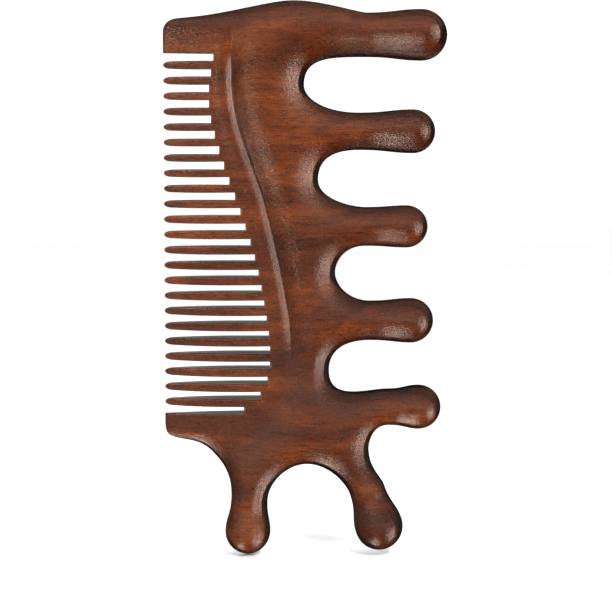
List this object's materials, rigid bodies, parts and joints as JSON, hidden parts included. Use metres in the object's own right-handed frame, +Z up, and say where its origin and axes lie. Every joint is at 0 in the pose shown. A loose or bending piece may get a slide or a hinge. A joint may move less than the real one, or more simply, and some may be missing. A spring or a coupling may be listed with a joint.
{
  "type": "wide tooth comb",
  "caption": "Carved hardwood massage comb: a row of fine teeth between thick guard teeth on one long side, rounded finger-like wide teeth on the other side and at the lower end.",
  "frame": {"origin": "centre of the comb's bounding box, in the middle of its thickness", "axes": "+X from the fine teeth towards the wide side teeth, +Y through the thickness from the front face to the back face, +Z up the comb's length with the two foot teeth pointing down"},
  "size_m": [0.0842, 0.0156, 0.166],
  "materials": {
    "hardwood": "oiled satin, horizontal grain"
  },
  "bodies": {
    "root": {"comb_back": "hardwood", "blade": "hardwood", "upper_guard_tooth": "hardwood", "lower_guard_tooth": "hardwood", "fine_tooth_01": "hardwood", "fine_tooth_02": "hardwood", "fine_tooth_03": "hardwood", "fine_tooth_04": "hardwood", "fine_tooth_05": "hardwood", "fine_tooth_06": "hardwood", "fine_tooth_07": "hardwood", "fine_tooth_08": "hardwood", "fine_tooth_09": "hardwood", "fine_tooth_10": "hardwood", "fine_tooth_11": "hardwood", "fine_tooth_12": "hardwood", "fine_tooth_13": "hardwood", "fine_tooth_14": "hardwood", "fine_tooth_15": "hardwood", "fine_tooth_16": "hardwood", "fine_tooth_17": "hardwood", "fine_tooth_18": "hardwood", "fine_tooth_19": "hardwood", "fine_tooth_20": "hardwood", "fine_tooth_21": "hardwood", "fine_tooth_22": "hardwood", "fine_tooth_23": "hardwood", "wide_tooth_1": "hardwood", "wide_tooth_2": "hardwood", "wide_tooth_3": "hardwood", "wide_tooth_4": "hardwood", "wide_tooth_5": "hardwood", "foot_tooth_1": "hardwood", "foot_tooth_2": "hardwood"}
  },
  "joints": []
}
